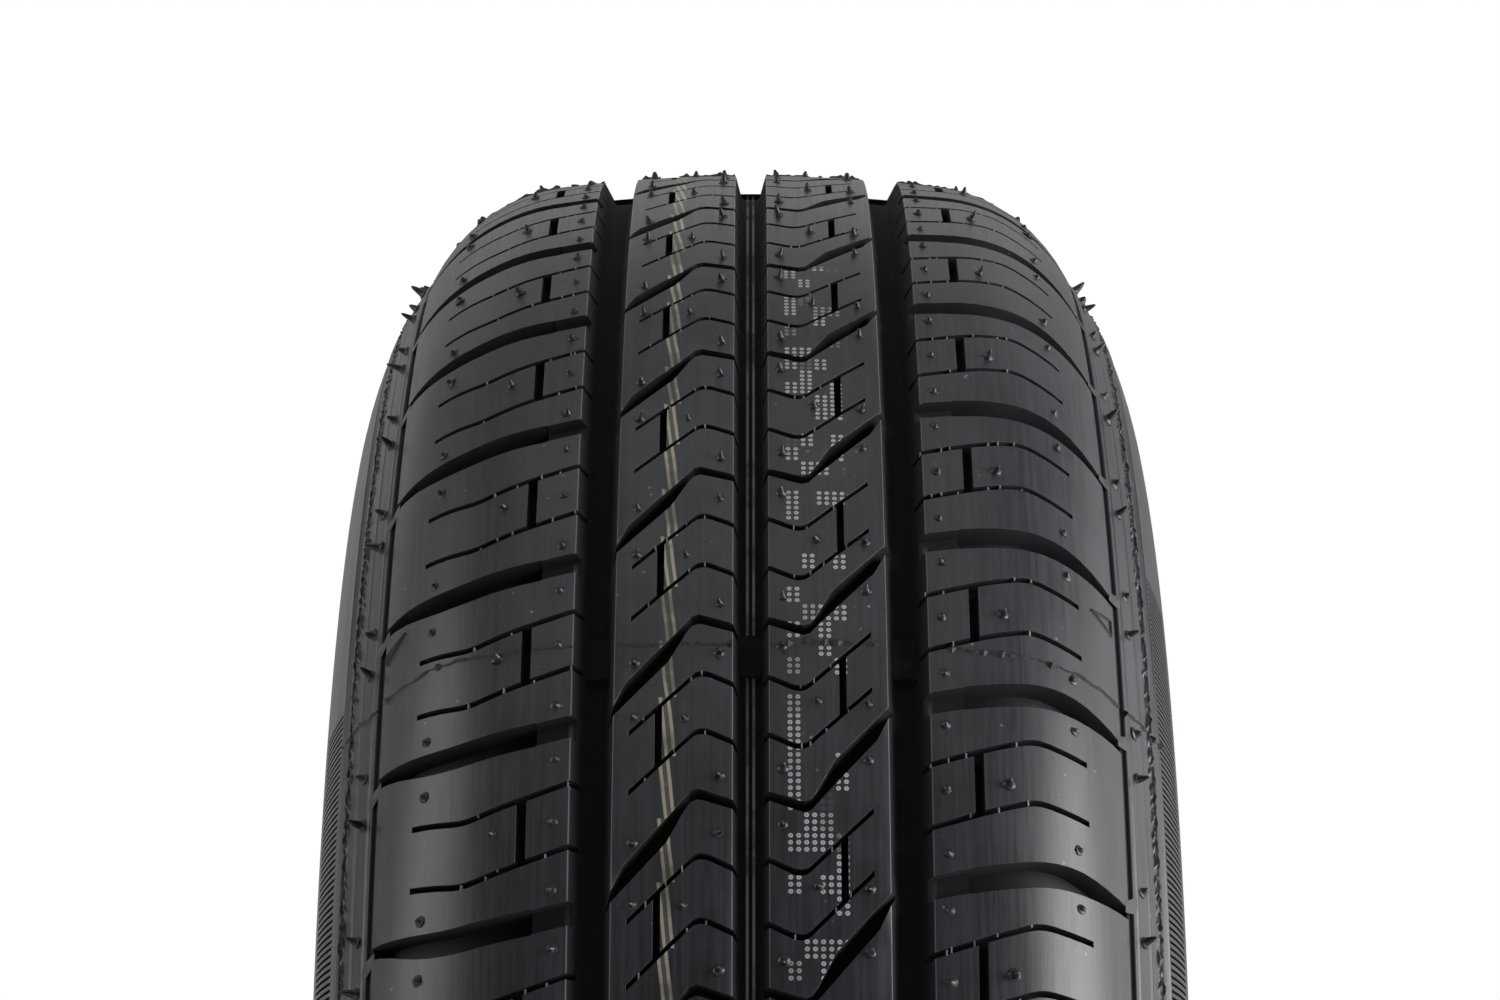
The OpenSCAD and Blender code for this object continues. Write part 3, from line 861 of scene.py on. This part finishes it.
# Smooth patch that bridges the shoulder line below the tip of each lateral groove
bridge = {"from": 89.9, "to": 96.0, "tip": 1.0, "length": 9.0, "height": 0.14}
bm = bmesh.new()
for side, lag in ((1, tread["shoulderLag"]), (-1, 0.0)):
    turn = patternStart(side)
    tip = (bridge["tip"] - lag) * pitch
    grid = []
    for t in np.linspace(bridge["from"], bridge["to"], 7):
        far = (t - bridge["from"]) / (bridge["to"] - bridge["from"])
        low, high = -bridge["length"] * (0.35 + 0.65 * far), -bridge["length"] * far * 0.3
        row = []
        for f in np.linspace(0, 1, 5):
            rise = bridge["height"] * math.sin(math.pi * f) * math.sin(math.pi * min(1, far * 0.9 + 0.1))
            row.append(bm.verts.new(onTyre(tip + low + (high - low) * f, t, rise - 0.03, side, turn)))
        grid.append(row)
    for a, b in zip(grid, grid[1:]):
        for k in range(4):
            face = [a[k], a[k + 1], b[k + 1], b[k]]
            bm.faces.new(face if side == 1 else face[::-1])
for f in bm.faces:
    f.smooth = True
ringOf(meshObject("line_bridges", bm), treadRubber, tread["pitches"], pitchAngle)

# Vent spews: blunt stubs of rubber where air left the mould, with a collar at the foot
spew = {
    "baseR": 1.6, "height": 1.9, "sides": 7, "lean": 0.05, "tilt": 0.22, "scaleLow": 0.82,
    "scaleHigh": 1.15, "longHair": 0.4, "longRare": 14.0, "seed": 12, "longSeed": 91,
    # radius and height up the stub, as shares of baseR and in steps of a height of 2.3
    "profile": ((1.0, -0.15), (0.95, 0.08), (0.72, 0.2), (0.6, 0.5), (0.5, 1.0), (0.37, 1.6), (0.23, 2.1),
                (0.06, 2.3)),
}
# places across and along the tread, then width, height and the right half's height as shares of the stub's
spewPlaces = [
    (28, 18.6, 0.9, 1, 1), (28, 51.8, 0.9, 1, 1), (16, 51.3, 0.85, 0.9, 0.9), (7.5, 35.8, 0.9, 1.2, 1.2),
    (7.7, 21.1, 0.9, 1.2, 1.2), (46.6, 25.6, 0.95, 0.55, 0.55), (46.6, 42.1, 0.95, 0.7, 0.55),
    (46.6, 56.6, 0.95, 0.55, 0.55), (61.5, 23.2, 1, 1.0, 1.45), (78.3, 37, 1.05, 0.7, 0.55),
    (78.3, 52.3, 1.05, 0.7, 0.55), (97, 39.6, 1.1, 2.2, 0.9), (97, 54, 1.1, 1.4, 2.0),
]
bm = bmesh.new()
rings = []
for width, z in spew["profile"]:
    reach, lean = width * spew["baseR"], spew["lean"] * z * z
    rise = z * spew["height"] / spew["profile"][-1][1]
    rings.append([bm.verts.new(((reach * math.cos(a) + lean) * mm, reach * math.sin(a) * mm, rise * mm))
                  for a in np.arange(spew["sides"]) * math.tau / spew["sides"]])
for a, b in zip(rings, rings[1:]):
    for k in range(spew["sides"]):
        after = (k + 1) % spew["sides"]
        bm.faces.new([a[k], a[after], b[after], b[k]])
bm.faces.new(rings[-1])
bm.faces.new(rings[0][::-1])
for f in bm.faces:
    f.smooth = True
spewShape = meshObject("spewShape", bm)

bm = bmesh.new()
outward, bulk = [], []
for i in range(tread["pitches"]):
    for side in (1, -1):
        turn = tread["start"] + (i if side == 1 else i + tread["halfShift"]) * pitchAngle
        for t, s, width, height, rightHeight in spewPlaces:
            s = s - (tread["shoulderLag"] * pitch if side == 1 and t > 43 else 0)
            bm.verts.new(onTyre(s, t, 0, side, turn))
            outward.append(upAt(s, t, side, turn))
            bulk.append((width, width, height if side == 1 else rightHeight))
spews = meshObject("vent_spews", bm)
for name, values in (("outward", outward), ("bulk", bulk)):
    spews.data.attributes.new(name, "FLOAT_VECTOR", "POINT").data.foreach_set("vector", np.ravel(values))

# Stands a stub on each point, leaning a little at random and now and then drawn out long
spewTree, given = shapeTree(
    "standOnPoints", "Stubs", Points="Geometry", Stub="Object", Seed="Int", Tilt="Float", Low="Float",
    High="Float", Long="Float", Material="Material")
normal = addNode(spewTree, "GeometryNodeInputNamedAttribute", {"Name": "outward"}, data_type="FLOAT_VECTOR")
upright = addNode(spewTree, "FunctionNodeAlignRotationToVector", {"Vector": normal}, axis="Z")
backTilt = addNode(spewTree, "ShaderNodeMath", {0: given["Tilt"], 1: -1.0}, operation="MULTIPLY")
least = addNode(spewTree, "ShaderNodeCombineXYZ", {"X": backTilt, "Y": backTilt, "Z": -math.pi})
most = addNode(spewTree, "ShaderNodeCombineXYZ", {"X": given["Tilt"], "Y": given["Tilt"], "Z": math.pi})
lean = addNode(spewTree, "FunctionNodeRandomValue", {"Min": least, "Max": most, "Seed": given["Seed"]},
               data_type="FLOAT_VECTOR")
leaning = addNode(spewTree, "FunctionNodeRotateRotation", {"Rotation": upright, "Rotate By": lean},
                  rotation_space="LOCAL")
size = addNode(spewTree, "FunctionNodeRandomValue", {
    2: given["Low"], 3: given["High"], "Seed": given["Seed"]}, output=1, data_type="FLOAT")
chance = addNode(spewTree, "FunctionNodeRandomValue", {2: 0.0, 3: 1.0, "Seed": spew["longSeed"]},
                 output=1, data_type="FLOAT")
rare = addNode(spewTree, "ShaderNodeMath", {0: chance, 1: spew["longRare"]}, operation="POWER")
tall = addNode(spewTree, "ShaderNodeMath", {0: rare, 1: given["Long"], 2: size}, operation="MULTIPLY_ADD")
bulk = addNode(spewTree, "GeometryNodeInputNamedAttribute", {"Name": "bulk"}, data_type="FLOAT_VECTOR")
stretch = addNode(spewTree, "ShaderNodeCombineXYZ", {"X": size, "Y": size, "Z": tall})
scale = addNode(spewTree, "ShaderNodeVectorMath", {0: bulk, 1: stretch}, operation="MULTIPLY")
stub = addNode(spewTree, "GeometryNodeObjectInfo", {"Object": given["Stub"]}, output="Geometry")
copies = addNode(spewTree, "GeometryNodeInstanceOnPoints", {
    "Points": given["Points"], "Instance": stub, "Rotation": leaning, "Scale": scale})
real = addNode(spewTree, "GeometryNodeRealizeInstances", {"Geometry": copies})
painted = addNode(spewTree, "GeometryNodeSetMaterial", {"Geometry": real, "Material": given["Material"]})
addNode(spewTree, "NodeGroupOutput", {"Stubs": painted})
bakeNodes(spews, spewTree, {
    "Stub": spewShape, "Seed": spew["seed"], "Tilt": spew["tilt"], "Low": spew["scaleLow"],
    "High": spew["scaleHigh"], "Long": spew["longHair"], "Material": flashRubber})
bpy.data.objects.remove(spewShape)
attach(spews, "root")
print("vent spews", triangleCount(spews), "triangles")

# Wear marks: a small raised triangle on each shoulder beside each row of bars
wearMark = {
    "height": 0.5, "halfW": 0.45, "back": 4.28,  # degrees back from the row of bars
    "corners": {1: ((85.3, 41.3), (90.3, 39.0), (90.0, 35.9)),
                -1: ((84.4, 48.3), (89.6, 50.4), (89.6, 45.2))},
}
bm = bmesh.new()
for side, corners in wearMark["corners"].items():
    for (t0, s0), (t1, s1) in zip(corners, corners[1:] + corners[:1]):
        run = []
        for f in np.linspace(0, 1, 5):
            s, t = side * (s0 + f * (s1 - s0)), t0 + f * (t1 - t0)
            run.append((onTyre(s, t, 0, side), upAt(s, t, side), wearMark["height"], wearMark["halfW"]))
        line = (run[-1][0] - run[0][0]).normalized()
        addRidge(bm, run, lambda place, up: up.cross(line))
bmesh.ops.recalc_face_normals(bm, faces=bm.faces)
ringOf(meshObject("wear_marks", bm), flashRubber, wearBar["rows"], 360 / wearBar["rows"],
       wearBar["start"] - wearMark["back"])

# Stage: white floor that fades into the white world, and broad soft lights
stage = {"floorR": 2.4, "fadeFrom": 0.9, "fadeTo": 2.2, "worldBehind": 0.4, "worldBefore": 0.1}
bm = bmesh.new()
bmesh.ops.create_circle(bm, cap_ends=True, segments=96, radius=stage["floorR"])
floor = meshObject("floor", bm)
floor.data.transform(Matrix.Translation((0, 0, -section["outerR"] * mm)))
floorPaint = bpy.data.materials.new("floorPaper")  # matt white paper
floorPaint.use_nodes = True
tree = floorPaint.node_tree
tree.nodes.clear()
place = addNode(tree, "ShaderNodeTexCoord", output="Object")
away = addNode(tree, "ShaderNodeVectorMath", {0: place}, output="Value", operation="LENGTH")
fade = addNode(tree, "ShaderNodeMapRange", {
    "Value": away, "From Min": stage["fadeFrom"], "From Max": stage["fadeTo"]},
    interpolation_type="SMOOTHSTEP")
paper = addNode(tree, "ShaderNodeBsdfDiffuse", {"Color": (0.9, 0.9, 0.9, 1)})
white = addNode(tree, "ShaderNodeEmission", {"Color": (1, 1, 1, 1), "Strength": 1.0})
faded = addNode(tree, "ShaderNodeMixShader", {0: fade, 1: paper, 2: white})
addNode(tree, "ShaderNodeOutputMaterial", {"Surface": faded})
floor.data.materials.append(floorPaint)

world = bpy.data.worlds.new("whiteRoom")
scene.world = world
world.use_nodes = True
tree = world.node_tree
tree.nodes.clear()
seen = addNode(tree, "ShaderNodeLightPath", output="Is Camera Ray")
toward = addNode(tree, "ShaderNodeTexCoord", output="Generated")
ahead = addNode(tree, "ShaderNodeSeparateXYZ", {0: toward}).node.outputs["X"]
strength = addNode(tree, "ShaderNodeMapRange", {
    "Value": ahead, "From Min": -1.0, "From Max": 0.6, "To Min": stage["worldBehind"],
    "To Max": stage["worldBefore"]}, interpolation_type="SMOOTHSTEP")
soft = addNode(tree, "ShaderNodeBackground", {"Color": (1, 1, 1, 1), "Strength": strength})
white = addNode(tree, "ShaderNodeBackground", {"Color": (1, 1, 1, 1), "Strength": 1.0})
mixed = addNode(tree, "ShaderNodeMixShader", {0: seen, 1: soft, 2: white})
addNode(tree, "ShaderNodeOutputWorld", {"Surface": mixed})

# place and target, size in metres and power in watts
softLights = {
    "leftBox": ((0.45, -1.9, 0.9), (0.2, 0, 0.1), (1.2, 1.6), 18.0),
    "rightBox": ((0.6, 1.9, 0.45), (0.2, 0, 0.1), (1.2, 1.6), 64.0),
    "topBox": ((0.5, 0, 1.9), (0.1, 0, 0.2), (1.6, 1.6), 5.0),
    "backBox": ((-1.4, 0, 1.3), (0, 0, 0.2), (2.0, 1.0), 2.4),
    "leftRim": ((-1.5, -1.1, 0.25), (0, 0, 0.1), (0.8, 1.2), 1.0),
    "rightRim": ((-0.8, 1.6, 0.35), (0, 0, 0.1), (0.8, 1.2), 4.0),
}
for name, (place, target, size, power) in softLights.items():
    data = bpy.data.lights.new(name, "AREA")
    data.shape = "RECTANGLE"
    data.size, data.size_y = size
    data.energy = power
    light = bpy.data.objects.new(name, data)
    light.location = place
    light.rotation_euler = (Vector(target) - Vector(place)).to_track_quat("-Z", "Y").to_euler()
    scene.collection.objects.link(light)
print("stage ready")
